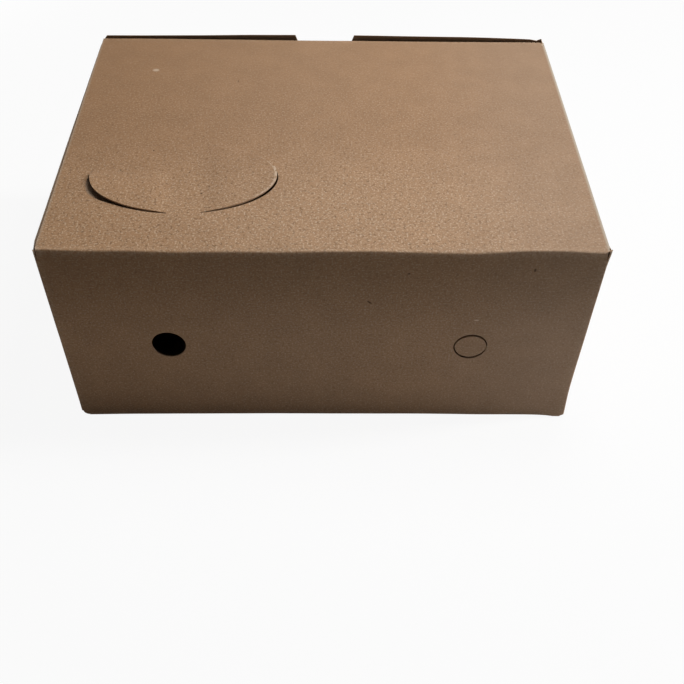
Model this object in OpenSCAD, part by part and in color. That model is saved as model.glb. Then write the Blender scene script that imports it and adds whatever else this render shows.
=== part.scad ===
/* [Board] */
// Thickness of the kraft board
board_t = 0.5; // [0.35:0.05:0.8]
// Inside radius of every fold
fold_r = 0.5; // [0.3:0.05:1]
// Width of a die-cut line
kerf = 0.3; // [0.2:0.05:0.6]
// Thickness of the glue at the glued corner
glue_gap = 0.05; // [0.02:0.01:0.1]

/* [Carton] */
// Outside width, left to right
carton_w = 180; // [160:1:240]
// Outside depth at the base, front to back
carton_d = 131.5; // [110:0.5:170]
// Height to the top of the closed lid
carton_h = 81; // [65:1:110]
// Bare length left at the end of each bottom fold
corner_relief = 0.7; // [0.5:0.1:2]

/* [Back wall] */
// Rise of the back wall above the closed lid
back_rise = 1.2; // [0.6:0.1:2]
// How far the middle of the top edge bows outward
back_bow = 1.1; // [0.2:0.1:3]
// Drop of the top edge towards the glued corner
back_drop = 0.9; // [0.3:0.1:1.5]
// Length of that dropping edge
back_drop_l = 45; // [25:1:55]
// Corner cut off the back wall at the left
back_corner = 2.2; // [1:0.1:4]
// Mouth of the thumb notch
notch_w = 25; // [18:0.5:34]
// Floor of the thumb notch
notch_floor_w = 16.5; // [12:0.5:18]
// Depth of the thumb notch below the top edge
notch_depth = 10; // [6:0.5:14]
// Radius of the notch's lower corners
notch_r = 4; // [1:0.5:5]
// Middle of the notch, to the right of the carton's middle
notch_x = 0.5; // [-4:0.5:4]

/* [Glue flap] */
// Width of the flap glued inside the right wall
glue_w = 14; // [10:1:20]
// Slope at each end of the glue flap
glue_taper = 4; // [1:0.5:6]
// Step from the right wall's cut end to the back face
seam_gap = 0.6; // [0.2:0.1:1]

/* [Vents] */
// Diameter of the two vents in the front wall
vent_d = 11.5; // [8:0.5:16]
// Distance between the vents
vent_pitch = 104; // [60:1:120]
// Middle of the pair, to the right of the carton's middle
vent_shift = -1; // [-5:0.5:5]
// Height of the vents above the base
vent_up = 38; // [25:1:45]
// Uncut nick that holds the right vent's disc
nick_w = 1.6; // [0.8:0.1:3]

/* [Lid] */
// Step from the lid's back fold to the back wall's outer face
lid_back_gap = 1.5; // [1:0.1:3]
// Step from the lid's side edge to the wall's outer face
lid_inset = 0.7; // [0.4:0.1:1.5]
// Clearance between the lid's front edge and the crease
hinge_gap = 0.1; // [0.05:0.05:0.3]
// Clearance between the lid and the dust flaps
lid_gap = 0.2; // [0.1:0.05:0.5]
// Length of the tuck flap below its fold
tuck_l = 20; // [14:0.5:22]
// Lean of the tuck flap into the box, in degrees
tuck_lean = 4; // [4:0.5:8]
// Step from the lid's side edge to the tuck flap's
tuck_inset = 1.6; // [1:0.1:4]
// Radius of the tuck flap's corners
tuck_r = 12; // [4:0.5:13]

/* [Oval tab] */
// Width of the oval tab, left to right
oval_w = 64; // [50:1:72]
// Depth of the oval tab, front to back
oval_d = 38.6; // [28:0.2:50]
// Step from the lid's left edge to the oval
oval_side_gap = 10; // [6:0.5:16]
// Step from the front face to the oval
oval_front_gap = 19.1; // [10:0.1:40]
// Uncut bridges at the oval's front and back
bridge_w = 11.4; // [6:0.2:16]
// Rise of the tab's left end
curl_left = 2; // [0.5:0.1:5]
// Rise of the tab's right end
curl_right = 1; // [0.5:0.1:5]

/* [Dust flaps] */
// Length of each dust flap, from the side wall inwards
dust_l = 45; // [30:1:60]
// Step from the front fold to the dust flap
dust_front_gap = 1.5; // [1:0.5:6]
// Step from the dust flap to the lid's back fold
dust_back_gap = 2; // [1.5:0.5:8]
// Slope of the dust flap's front edge
dust_taper = 5; // [2:0.5:12]
// Radius of the dust flap's inner back corner
dust_r = 22; // [8:1:40]

/* [Bottom] */
// Distance from the middle line to the arms of the lock line
lock_step = 16; // [8:1:24]
// Half the length of the lock line's slanted stretch
lock_half = 10; // [5:1:16]
// Gap along the lock line
lock_gap = 0.5; // [0.3:0.1:1]
// Slope of each large flap's free end
lock_taper = 20; // [8:1:30]
// Length of the side flaps inside the base
side_flap_l = 42; // [25:1:48]
// Slope of the side flaps' ends
side_flap_taper = 14; // [5:1:24]
// Step from each locking tongue to the side flap beside it
tongue_side_gap = 8; // [4:1:12]
// Reach of each locking tongue past the lock line
tongue_l = 12; // [6:1:16]
// Length of each tongue on its own flap
tongue_lap = 8; // [5:1:12]
// Radius of the tongue's corners
tongue_r = 5; // [2:0.5:6]
// Step from the lock line's bend to the tongue
tongue_step = 4; // [2:0.5:6]
// Width of the scored diagonal on each large flap
score_w = 0.8; // [0.5:0.1:1.2]
// Depth of the scored diagonal
score_depth = 0.15; // [0.05:0.05:0.2]

/* [Hidden] */

// Fineness of round faces, of the tab's wide curls and of rounded outlines
$fn = 64;
curl_fn = 720;
arc_steps = 8;
oval_steps = 72;
// Grid of the bowed back wall
bow_columns = 18;
bow_rows = 8;
// Length by which a cut runs past the board
overrun = 2;
// Turns of the board and of outlines
quarter_turn = 90;
half_turn = 180;
full_turn = 360;
score_angle = 45;

kraft = [0.64, 0.52, 0.41];
kraft_lid = [0.68, 0.55, 0.44];

// Outside radius of a fold, and the flat part of the front and back walls
fold_out = fold_r + board_t;
half_w = carton_w / 2;
panel_half = half_w - fold_out;
front_y = -(carton_d + back_bow) / 2;

// Heights on the walls, from the fold at the front wall's foot
foot_h = board_t;
hinge_h = carton_h - board_t / 2 - fold_out;
corner_h = carton_h - board_t - fold_out;
dust_h = corner_h - lid_gap - fold_out;
back_h = carton_h + back_rise - fold_out;
back_corner_h = corner_h - lid_gap - board_t;
vent_h = vent_up - fold_out;

// Lengths of the walls between their folds
wall_l = carton_d - 2 * fold_out;
right_wall_l = carton_d - fold_out - seam_gap;
back_l = 2 * panel_half - board_t - glue_gap;

vent_left_x = vent_shift - vent_pitch / 2;
vent_right_x = vent_shift + vent_pitch / 2;
notch_y = panel_half + notch_x;

// The dust flaps end in front of the tuck flap
dust_back = wall_l - lid_back_gap - dust_back_gap;
dust_reach = dust_l - fold_out;

// The lid panel, from its front edge at the crease to its back fold
lid_half = half_w - lid_inset;
lid_start = board_t + hinge_gap;
lid_l = carton_d - lid_start - lid_back_gap - fold_out;
tuck_half = lid_half - tuck_inset;

// The oval tab is flat between its bridges and curls up beyond them
oval_x = oval_side_gap + oval_w / 2 - lid_half;
oval_y = oval_front_gap + oval_d / 2 - lid_start;
flat_half = bridge_w / 2 + kerf;
curl_run = oval_w / 2 - flat_half;

// The large bottom flaps, from their fold to the two arms of the lock line
flap_half = panel_half - corner_relief;
lock_middle = carton_d / 2 - fold_out;
long_arm = lock_middle + lock_step - lock_gap / 2;
short_arm = lock_middle - lock_step - lock_gap / 2;

// The locking tongues and the side flaps
tongue_x = lock_half + tongue_step;
tongue_w = half_w - side_flap_l - tongue_side_gap - tongue_x;
tongue_root = lock_middle - lock_step - tongue_lap;
tongue_end = lock_middle - lock_step + tongue_l;
side_flap_front = corner_relief;
side_flap_back = wall_l - corner_relief;
side_flap_reach = side_flap_l - fold_out;

// Points of a rectangle between two corners
function rectangle(a, b) = [a, [b[0], a[1]], b, [a[0], b[1]]];

// Points along an arc of an outline
function arc(centre, radius, from, to) =
    [for (i = [0 : arc_steps])
        let (a = from + (to - from) * i / arc_steps)
        centre + radius * [cos(a), sin(a)]];

// Points of an ellipse about the origin
function ellipse(width, depth) =
    [for (i = [0 : oval_steps - 1])
        let (a = full_turn * i / oval_steps)
        [width / 2 * cos(a), depth / 2 * sin(a)]];

// Radius of a sheet that rises by a given height over the tab's curled run
function curl_radius(rise) = (curl_run * curl_run + rise * rise) / (2 * rise);

// How far the back wall bows out, across from -1 to 1 and up from 0 to 1
function bow(across, up) = back_bow * (1 - across * across) * up * up;

// A panel of board cut to an outline, its outer face at zero and facing up
module panel() {
    translate([0, 0, -board_t])
        linear_extrude(board_t)
        children();
}

// Turns the round shape of a fold or an edge to run along X, its angle measured from +Y towards +Z
module along_x() {
    rotate([quarter_turn, 0, quarter_turn]) children();
}

// Folds the board down along X and goes on with the next panel, which starts at the fold
module fold_down(from, to, angle = quarter_turn) {
    translate([0, 0, -fold_out]) {
        translate([from, 0, 0])
            along_x()
            rotate(quarter_turn)
            rotate_extrude(angle = -angle)
            translate([fold_r, 0])
            square([board_t, to - from]);
        rotate([-angle, 0, 0])
            translate([0, 0, fold_out])
            children();
    }
}

// Ring cut round a vent's disc, left uncut at the nick
module vent_cut() {
    difference() {
        circle(d = vent_d);
        circle(d = vent_d - 2 * kerf);
        translate([0, -nick_w / 2]) square([vent_d, nick_w]);
    }
}

// Front wall with the left vent punched out and the right vent's disc in place; Y is up
module front_wall() {
    panel()
        difference() {
            polygon(rectangle([-panel_half, 0], [panel_half, hinge_h]));
            translate([vent_left_x, vent_h]) circle(d = vent_d);
            translate([vent_right_x, vent_h]) vent_cut();
        }
    // Rounded crease along the top
    translate([-panel_half, hinge_h, -board_t / 2])
        along_x()
        rotate(-quarter_turn)
        rotate_extrude(angle = half_turn)
        square([board_t / 2, 2 * panel_half]);
}

// Dust flap, folded in under the lid; X runs to the front
module dust_flap() {
    corner = [dust_r - dust_back, dust_reach - dust_r];
    panel()
        polygon(concat(
            [[-dust_front_gap, 0]],
            [[-dust_front_gap - dust_taper, dust_reach]],
            arc(corner, dust_r, quarter_turn, half_turn),
            [[-dust_back, 0]]
        ));
}

// Side flap, glued on the large flaps inside the base; X runs to the back
module side_flap() {
    panel()
        polygon([
            [side_flap_front, 0],
            [side_flap_front + side_flap_taper, side_flap_reach],
            [side_flap_back - side_flap_taper, side_flap_reach],
            [side_flap_back, 0]
        ]);
}

// Side wall with its dust flap and its bottom flap; X is up and Y runs to the back
module side_wall(length) {
    panel() polygon(rectangle([foot_h, 0], [dust_h, length]));
    translate([dust_h, 0, 0])
        rotate(-quarter_turn)
        fold_down(-dust_back, -dust_front_gap)
        dust_flap();
    translate([foot_h, 0, 0])
        rotate(quarter_turn)
        fold_down(side_flap_front, side_flap_back)
        side_flap();
}

// Sheet of the back wall: flat at its folds and bowed out at its free top edge
module bowed_sheet() {
    per_row = bow_columns + 1;
    per_face = per_row * (bow_rows + 1);
    points = [
        for (face = [0, 1])
        for (row = [0 : bow_rows])
        for (column = [0 : bow_columns])
        let (along = column / bow_columns)
        let (up = row / bow_rows)
        [back_h * up, back_l * along, bow(2 * along - 1, up) - face * board_t]
    ];
    cells = [
        for (row = [0 : bow_rows - 1])
        for (column = [0 : bow_columns - 1])
        row * per_row + column
    ];
    // Seen from behind, then from inside
    outer = [
        for (c = cells)
        for (f = [[c, c + 1, c + per_row], [c + 1, c + per_row + 1, c + per_row]]) f
    ];
    inner = [for (f = outer) [for (i = [2, 1, 0]) f[i] + per_face]];
    // Edge of the sheet, walked once round the outer face
    rim = concat(
        [for (column = [0 : bow_columns - 1]) column],
        [for (row = [0 : bow_rows - 1]) row * per_row + bow_columns],
        [for (column = [bow_columns : -1 : 1]) bow_rows * per_row + column],
        [for (row = [bow_rows : -1 : 1]) row * per_row]
    );
    edges = [
        for (i = [0 : len(rim) - 1])
        let (a = rim[i])
        let (b = rim[(i + 1) % len(rim)])
        for (f = [[a, a + per_face, b], [b, a + per_face, b + per_face]]) f
    ];
    polyhedron(points, concat(outer, inner, edges));
}

// Outline of the thumb notch, measured from the middle of its mouth
module notch_outline() {
    half_mouth = notch_w / 2;
    half_floor = notch_floor_w / 2;
    flank = atan2(notch_depth, half_mouth - half_floor);
    flare = (half_mouth - half_floor) / notch_depth;
    // Each corner's arc meets the floor and the flank
    corner_x = notch_r - notch_depth;
    corner_y = half_floor - notch_r * tan(flank / 2);
    mouth_y = half_mouth + flare * overrun;
    polygon(concat(
        arc([corner_x, corner_y], notch_r, half_turn, half_turn - flank),
        [[overrun, mouth_y], [overrun, -mouth_y]],
        arc([corner_x, -corner_y], notch_r, half_turn + flank, half_turn)
    ));
}

// Outline of the wedge cut off the back wall's top edge towards the glued corner
module drop_outline() {
    slope = back_drop / back_drop_l;
    start = back_l - back_drop_l - overrun;
    end = back_l + overrun;
    polygon([
        [back_h + slope * overrun, start],
        [back_h - back_drop - slope * overrun, end],
        [back_h + overrun, end],
        [back_h + overrun, start]
    ]);
}

// Back wall with its notch, its cut left corner and its dropping right end; X is up
module back_wall() {
    difference() {
        bowed_sheet();
        translate([0, 0, -board_t - overrun])
            linear_extrude(board_t + back_bow + 2 * overrun) {
                translate([back_h, notch_y]) notch_outline();
                drop_outline();
                polygon([
                    [back_h - back_corner - overrun, -overrun],
                    [back_h + overrun, back_corner + overrun],
                    [back_h + overrun, -overrun]
                ]);
            }
    }
}

// Flap glued against the inside of the right wall; X is up
module glue_flap() {
    panel()
        polygon([
            [foot_h, 0],
            [dust_h, 0],
            [dust_h - glue_taper, glue_w],
            [foot_h + glue_taper, glue_w]
        ]);
}

// Large bottom flap with its lock line, scored diagonal and locking tongue
module large_flap() {
    difference() {
        panel()
            polygon([
                [flap_half, 0],
                [-flap_half, 0],
                [lock_taper - flap_half, short_arm],
                [lock_gap / 2 - lock_half, short_arm],
                [lock_gap / 2 + lock_half, long_arm],
                [flap_half, long_arm]
            ]);
        translate([flap_half, 0, -score_depth])
            rotate(half_turn - score_angle)
            translate([fold_out, -score_w / 2, 0])
            cube([carton_w, score_w, score_depth + overrun]);
    }
    // The tongue lies on the other large flap inside the box
    translate([0, 0, -board_t])
        panel()
        polygon(concat(
            [[-tongue_x, tongue_root], [-tongue_x - tongue_w, tongue_root]],
            arc([tongue_r - tongue_x - tongue_w, tongue_end - tongue_r], tongue_r, half_turn, quarter_turn),
            arc([-tongue_x - tongue_r, tongue_end - tongue_r], tongue_r, quarter_turn, 0)
        ));
}

// One folded sheet: four walls, dust flaps, glue flap and the locked bottom
module carton() {
    color(kraft)
        translate([0, front_y, fold_out])
        rotate([quarter_turn, 0, 0]) {
            front_wall();
            rotate(half_turn)
                fold_down(-flap_half, flap_half)
                large_flap();
            // Left wall, then the back wall and the glue flap
            translate([-panel_half, 0, 0])
                rotate(quarter_turn)
                fold_down(foot_h, corner_h) {
                    side_wall(wall_l);
                    translate([0, wall_l, 0])
                        fold_down(foot_h, back_corner_h) {
                            back_wall();
                            translate([0, panel_half, 0])
                                rotate(quarter_turn)
                                fold_down(-flap_half, flap_half)
                                large_flap();
                            translate([0, back_l, 0])
                                fold_down(foot_h, dust_h)
                                glue_flap();
                        }
                }
            // Right wall, which ends in a cut edge at the glued corner
            mirror([1, 0, 0])
                translate([-panel_half, 0, 0])
                rotate(quarter_turn)
                fold_down(foot_h, corner_h)
                side_wall(right_wall_l);
        }
}

// Outline of the lid, cut round the oval tab and left whole at its bridges and flat middle
module lid_outline() {
    difference() {
        polygon(rectangle([-lid_half, 0], [lid_half, lid_l]));
        translate([oval_x, oval_y]) polygon(ellipse(oval_w, oval_d));
    }
    translate([oval_x, oval_y]) {
        intersection() {
            polygon(ellipse(oval_w - 2 * kerf, oval_d - 2 * kerf));
            polygon(rectangle([-flat_half, -oval_d], [flat_half, oval_d]));
        }
        polygon(rectangle([-bridge_w / 2, -oval_d / 2 - kerf], [bridge_w / 2, oval_d / 2 + kerf]));
    }
}

// One end of the oval tab, curling up to the right of the tab's middle
module curled_end(rise) {
    radius = curl_radius(rise);
    reach = asin((curl_run + overrun) / radius);
    intersection() {
        translate([0, 0, -board_t - overrun])
            linear_extrude(board_t + rise + 2 * overrun)
            polygon(ellipse(oval_w - 2 * kerf, oval_d - 2 * kerf));
        translate([flat_half, oval_d, radius])
            rotate([quarter_turn, 0, 0])
            rotate(-quarter_turn)
            rotate_extrude(angle = reach, $fn = curl_fn)
            translate([radius, 0])
            square([board_t, 2 * oval_d]);
    }
}

// Outline of the tuck flap, with rounded corners
module tuck_outline() {
    corner = [tuck_half - tuck_r, tuck_l - tuck_r];
    polygon(concat(
        [[-tuck_half, 0], [tuck_half, 0]],
        arc(corner, tuck_r, 0, quarter_turn),
        arc([-corner[0], corner[1]], tuck_r, quarter_turn, half_turn)
    ));
}

// Lid panel with its oval tab, its back fold and the tuck flap
module lid() {
    color(kraft_lid)
        translate([0, front_y + lid_start, carton_h]) {
            panel() lid_outline();
            translate([oval_x, oval_y, 0]) {
                curled_end(curl_right);
                mirror([1, 0, 0]) curled_end(curl_left);
            }
            // The back fold turns down squarely, and then in by the tuck flap's lean
            translate([0, lid_l, 0])
                fold_down(-lid_half, lid_half)
                fold_down(-lid_half, lid_half, tuck_lean)
                panel()
                tuck_outline();
        }
}

carton();
lid();
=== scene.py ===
"""Looks of a kraft snack box: one die-cut sheet of brown board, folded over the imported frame."""

import math
from types import SimpleNamespace

import bpy
import numpy as np
from bpy.props import FloatProperty, FloatVectorProperty, PointerProperty
from bpy.types import Operator, Panel, PropertyGroup
from mathutils import Matrix, Vector, noise
from mathutils.geometry import delaunay_2d_cdt


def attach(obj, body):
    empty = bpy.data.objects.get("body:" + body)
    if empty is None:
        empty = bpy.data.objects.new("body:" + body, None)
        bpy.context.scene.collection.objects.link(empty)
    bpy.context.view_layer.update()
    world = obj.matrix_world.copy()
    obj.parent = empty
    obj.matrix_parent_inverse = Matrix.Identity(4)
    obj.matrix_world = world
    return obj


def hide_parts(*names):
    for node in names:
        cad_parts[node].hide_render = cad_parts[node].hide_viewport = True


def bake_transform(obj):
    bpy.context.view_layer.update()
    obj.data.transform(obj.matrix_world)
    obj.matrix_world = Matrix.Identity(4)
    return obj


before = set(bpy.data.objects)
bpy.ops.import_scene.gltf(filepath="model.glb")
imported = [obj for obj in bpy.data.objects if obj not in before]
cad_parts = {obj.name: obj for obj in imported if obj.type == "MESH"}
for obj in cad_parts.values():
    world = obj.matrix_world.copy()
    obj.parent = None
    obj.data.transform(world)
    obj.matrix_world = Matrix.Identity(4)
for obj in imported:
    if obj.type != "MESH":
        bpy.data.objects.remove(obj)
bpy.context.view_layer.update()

bl_info = {
    "name": "Kraft snack box",
    "version": (1, 0, 0),
    "blender": (4, 5, 0),
    "location": "3D View > Sidebar > Snack box",
    "description": "Builds a folded kraft snack box and the stage it is photographed on",
    "category": "Object",
}

MM = 0.001
SQUARE = math.pi / 2
BLANK_MAP = "blank"
# Mesh attribute of the fold scuffs; it also holds the painted highlight on the oval tab's rim
WEAR_AND_HIGHLIGHT_MARK = "fold_wear"
BODY_CARTON = "carton"
BODY_LID = "lid"

# Spacing of the points on the lid, the front wall and the back wall, and on the other panels
FINE_STEP = 2.4 * MM
PLAIN_STEP = 4.0 * MM
FOLD_STEPS = 8
# Rows of points beside an edge, and the least distance from a point to a cut
EDGE_ROWS = (0.6 * MM, 1.4 * MM)
CLEAR_OF_CUT = 0.35 * MM
# Distance within which points are joined, and the angle from which an edge is sharp
WELD = 1e-7
SHARP_FROM = math.radians(50)
# Reach of the scuffed band beside a fold
WEAR_REACH = 1.3 * MM

# Unevenness of the board: height and length of its waves
WAVE_HEIGHT = 0.10 * MM
WAVE_LENGTH = 42.0 * MM
RIPPLE_HEIGHT = 0.035 * MM
RIPPLE_LENGTH = 11.0 * MM

# Top edge of the back wall: places across the box and heights above the base
BACK_EDGE_LEFT = ((-89.2, 81.2), (-88.2, 82.45), (-72.0, 82.35), (-50.0, 82.35), (-30.0, 82.55))
BACK_EDGE_RIGHT = ((40.0, 82.45), (57.0, 82.45), (68.0, 82.3), (78.0, 82.1), (84.5, 81.9), (87.2, 81.3))
BACK_EDGE_NOTCH = 82.6
BACK_TIP = 82.15
# Thickness that the die leaves at the back wall's top edge, as a share of the board
BACK_LIP = 0.25
# Lean of that edge towards the lid
LIP_LEAN = 0.25 * MM
# Heights from the lid over which it leans and thins, and its place before the back face
LEAN_SPAN = (-0.2 * MM, 1.4 * MM)
THIN_SPAN = (-0.6 * MM, 0.8 * MM)
LIP_INNER = 2 * MM
LIP_OUTER = 1 * MM
# Middle of the thumb notch across the box, and the rounding of its corners
NOTCH_MIDDLE = 0.35 * MM
NOTCH_CORNER = 4 * MM
# Height of the back wall's top over the lid, where its bow is full
BACK_RISE = 1.2 * MM
# Step from the right wall's cut end to the back face, and the glue between that wall and its flap
SEAM_GAP = 0.6 * MM
GLUE_GAP = 0.05 * MM
# Relief beside the bottom flaps, and the rounded left and cut right corner of the front wall's foot
RELIEF = 0.7 * MM
LEFT_ROUND = 2.0 * MM
RIGHT_CUT = 0.6 * MM
RIGHT_TRIM = 0.9 * MM
# Flat strip of the crease on each side of its bend
CREASE_STRIP = 3.0 * MM
# Dust flaps: gaps to the front and back walls, and reach over the food
DUST_START = 1.5 * MM
DUST_END = 2.0 * MM
DUST_REACH = 45 * MM
# Gap from a side flap to the front wall
SIDE_FLAP_START = 2.2 * MM
# Middles of the vents in the front wall, across it and above the base
LEFT_VENT = (-53.1 * MM, 38.5 * MM)
RIGHT_VENT = (51 * MM, 37.6 * MM)
# Uncut nick that holds the right vent's disc
NICK = (math.radians(-8), math.radians(-3))
# Cut round its disc, as shares of its width: all round, more at top and bottom, less at the right
VENT_CUT_SHARES = (0.6, 0.9, 0.1)
# Middle of the oval tab, and the uncut bridges beside it: front left, front right and back
OVAL_CENTRE = (-47.3 * MM, -28.5 * MM)
BRIDGE_LEFT = -3.6 * MM
BRIDGE_RIGHT = 7.7 * MM
BRIDGE_BACK = 5.7 * MM
# Share of the cut that stays shut along the tab's back
SHUT_BACK = 0.9
# Where the right and the left cut shut, as sines of the angle round the oval
RIGHT_SHUTS = (0.1, 0.45)
LEFT_SHUTS = (-0.03, 0.1)
# Depth over which the front bridge passes into the back one, and over which the left end flattens
BRIDGE_TURN = (-5 * MM, 5 * MM)
LEFT_FLATTENS = (4.5 * MM, -2.5 * MM)
# Shape of the right end's curl, and shares of the tab's ends over which their edges rise
CURL_POWER = 1.5
RIGHT_EDGE_SHARE = 0.22
LEFT_EDGE_SHARE = 0.14
# Least rise of the oval tab's edge over the lid, away from its bridges
TAB_PROUD = 0.38 * MM
# Painted highlight on the tab's rim at its raised right end: how strong it is
RIM_HIGHLIGHT = 14.0
# Where that painted highlight begins and is full, as shares of the tab across it and from its middle to its
# edge
RIM_ACROSS_SHARES = (0.72, 0.9)
RIM_OUT_SHARES = (0.966, 0.975)
# Rows of points inside the tab's edge that hold the painted highlight on its rim
RIM_ROWS = (0.65 * MM, 1.05 * MM)
# Wider cut at the tab's left tip, inwards and outwards: how far, and its place and reach round the oval
TIP_INWARDS = (0.33 * MM, math.radians(187), math.radians(15))
TIP_OUTWARDS = (1.9 * MM, math.radians(206), math.radians(17))
# Rise of the closed lid's back edge, at the right and at the left
LID_RISE_RIGHT = 0.2 * MM
LID_RISE_LEFT = 0.7 * MM
# Where that rise begins: behind the front wall, and right of the middle as a share of half the width
LID_RISE_FROM = 20 * MM
LID_RISE_SHARE = 0.6
# Bulge of the front wall's foot at its left and right ends, and its reach up the wall
FOOT_LEFT = 0.35 * MM
FOOT_RIGHT = 0.55 * MM
FOOT_CORNER = 0.4 * MM
FOOT_SPLAY = 0.3 * MM
FOOT_UP = 10 * MM
# Its reach behind the front face and from the left edge, and where it grows towards the right
FOOT_DEEP = 8 * MM
FOOT_LEFT_REACH = 16 * MM
FOOT_RIGHT_SPAN = (28 * MM, 66 * MM)
FOOT_CORNER_SPANS = ((76 * MM, 88 * MM), (82.5 * MM, 86 * MM))
FOOT_SPLAY_SPAN = (70 * MM, 89 * MM)
# Bulge of the side walls' tops: left, left towards the back, and right
SIDE_LEFT = 0.9 * MM
SIDE_LEFT_BACK = 0.65 * MM
SIDE_RIGHT = 0.25 * MM
# Where it begins and is full behind the front face, where it ends, and its reach into the box
SIDE_BEGINS = 0.4 * MM
SIDE_FULL = 4.5 * MM
SIDE_ENDS = 4 * MM
SIDE_DEEP = 12 * MM
SIDE_BACK_FROM = -10 * MM
# Extra width of the box at its right edge
RIGHT_WIDER = 0.25 * MM
RIGHT_WIDER_SPAN = (55 * MM, 89 * MM)
# Flare and stretch of the right front corner's top end
EAR_FLARE = 0.45 * MM
EAR_UP = 0.7 * MM
# Its place behind the front face and its reach, the height it begins at, and its reach into the box
EAR_PLACE = 1.5 * MM
EAR_REACH = 2.6 * MM
EAR_FROM = 74 * MM
EAR_INNER = 2.5 * MM
EAR_OUTER = 0.6 * MM
# Line of the worn crease: places across the box and heights over a straight line, in millimetres
CREASE_LINE = (
    (-86, 0.6), (-81, 0.4), (-72, 0.1), (-60, 0.2), (-45, -0.35), (-29, -0.1), (-13, -0.25), (2, 0.1),
    (17, 0.3), (33, -0.25), (48, -0.6), (64, 0.6), (76, 0.55), (82, 0.15), (86, -0.2))
# Reach of its waves to both sides of the bend: back over the lid and down the wall
CREASE_BACK = 1.5 * MM
CREASE_DOWN = 2.5 * MM
# Spacing of its rows of points
CREASE_STEP = 0.5 * MM
# Narrowing of the lid's crease at its left and right ends
PINCH_LEFT = 0.4 * MM
PINCH_RIGHT = 0.25 * MM
# Frayed end of the crease at the left: its reach, and how pale it is
FRAYED_REACH = 1.6 * MM
FRAYED_PALE = 2.5
# Larger flecks: place in the blank, length and width in millimetres, and turn
DARK_FLECKS = (
    (15.2, 58.5, 2.0, 0.6, -0.73), (67.4, 72.8, 0.7, 1.4, 0.0), (27.4, 71.2, 0.8, 0.65, 0.3),
    (-32.8, 178.3, 0.6, 0.6, 0.4), (-45.5, 120.7, 0.5, 0.5, 0.0), (-69.0, 121.5, 0.65, 0.6, 0.0),
    (-40.4, 109.0, 0.55, 0.55, 0.0), (-59.3, 133.0, 0.5, 0.55, 0.0))
PALE_FLECKS = ((51.6, 50.0, 1.6, 0.55, 0.0), (-65.2, 185.6, 2.4, 1.7, 0.0))
FLECK_SHARE = 0.9
# Paper: scales of its coarse and fine grain, mottling, rubbed patches, scuffs (whose noise also breaks up
# the painted highlight on the oval tab's rim) and torn layers
GRAIN_SCALE = 900.0
FINE_SCALE = 1550.0
MOTTLE_SCALE = 95.0
PATCH_SCALE = 60.0
SCUFF_SCALE = 700.0
LAYER_SCALE = 2600.0
# Fibres: scales along and across a strand, and the directions they lie in
FIBRE_SCALES = (330.0, 2100.0, 1.0)
FIBRE_TURNS = (0.35, -0.5, 1.45)
# How far the rubbed colour covers the lid beside its crease, and the pale scuffs its folds, which also carry
# the painted highlight on the oval tab's rim
RUB_SHARE = 0.56
SCUFF_AND_HIGHLIGHT_SHARE = 0.2
# Shares of specks and fibres on plain and on rubbed board
DARK_SHARES = (0.36, 0.68)
PALE_SHARES = (0.38, 0.95)
FIBRE_SHARES = (0.1, 0.3)
# Gloss of the outer face, and roughness of hollows and of raised grains
OUTER_GLOSS = 0.1
ROUGHNESS = (0.5, 0.62)
# Marks on the blank, of handling and of painted light and shade: where each begins and is full, in
# millimetres up or across it
ON_LID = (78.6, 81)
BELOW_CREASE = (81, 79)
RUBBED_UP = (156, 94)
RUBBED_ACROSS = (100, 30)
GRAIN_UP = (205, 140)
GRAIN_ACROSS = (85, 20)
# Painted cooler light and sheen towards the right edge
COOL_LIGHT_ACROSS = (25, 85)
# Painted warmer shade towards the left edge
WARM_SHADE_ACROSS = (0, -85)
# Painted shade: the front wall darker towards the lid's crease
WALL_SHADE_UP = (38, 80)
# Painted highlight along the lid's right edge, and a pale band along its left edge
HIGHLIGHT_RIGHT = (88.7, 89.7)
PALE_BAND_LEFT = (-88.6, -89.4)
# Shares of the rub at its right and of the grain at the back and the right, and of the painted highlight
# along the lid's right edge and the pale band along its left
RUBBED_LEAST_SHARE = 0.35
GRAIN_BACK_SHARE = 0.42
GRAIN_RIGHT_SHARE = 0.68
HIGHLIGHT_RIGHT_SHARE = 0.8
PALE_BAND_LEFT_SHARE = 0.35
# How far pale fibres cover a cut edge, and how rough that edge is
TORN_SHARE = 0.4
TORN_ROUGHNESS = 0.85
# Specks of the inner face, as shares of its colour
INNER_DARK = 0.5
INNER_PALE = 1.6
# Tooth of the paper: strength and height of its bump
TOOTH = 0.25
TOOTH_HEIGHT = 0.08 * MM

# Stage, in metres and radians
WHITE = (1.0, 1.0, 1.0, 1.0)
FLOOR_REACH = 6.0
# Glow of the floor and of the background where the camera sees them
FLOOR_GLOW = 0.92
BACKGROUND_GLOW = 0.925
# Lamps: name, the setting that holds the power, size, place, and the point they are turned to
LAMPS = (
    ("window", "window_power", (0.12, 0.5), (0.983, 0.07, 0.748), (0.0, 0.0, 0.06)),
    ("top_light", "top_power", (0.15, 0.15), (0.1, 0.05, 0.38), (0.1, 0.05, 0.0)),
    ("front_fill", "front_power", (0.12, 0.02), (0.22, -0.2, 0.014), (0.02, -0.066, 0.03)),
    ("back_fill", "back_power", (0.3, 0.04), (-0.3, 0.3, 0.03), (-0.05, 0.03, 0.04)))
CAMERA_SENSOR = 36.0
CAMERA_LENS = 47.2270
CAMERA_PLACE = (0.00082, -0.276647, 0.266094)
CAMERA_TURN = (0.7493298, -0.0140045, -0.0117647)


def sized(name, description, millimetres):
    """A length that the sidebar shows in the scene's own unit."""
    return FloatProperty(name=name, description=description, default=millimetres * MM, unit="LENGTH")


def coloured(name, description, default, **limits):
    """A colour that the sidebar shows as a swatch."""
    return FloatVectorProperty(
        name=name, description=description, default=default, size=3, subtype="COLOR", **limits)


def powered(name, description, watts):
    """The power of a lamp."""
    return FloatProperty(name=name, description=description, default=watts, unit="POWER")


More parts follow.
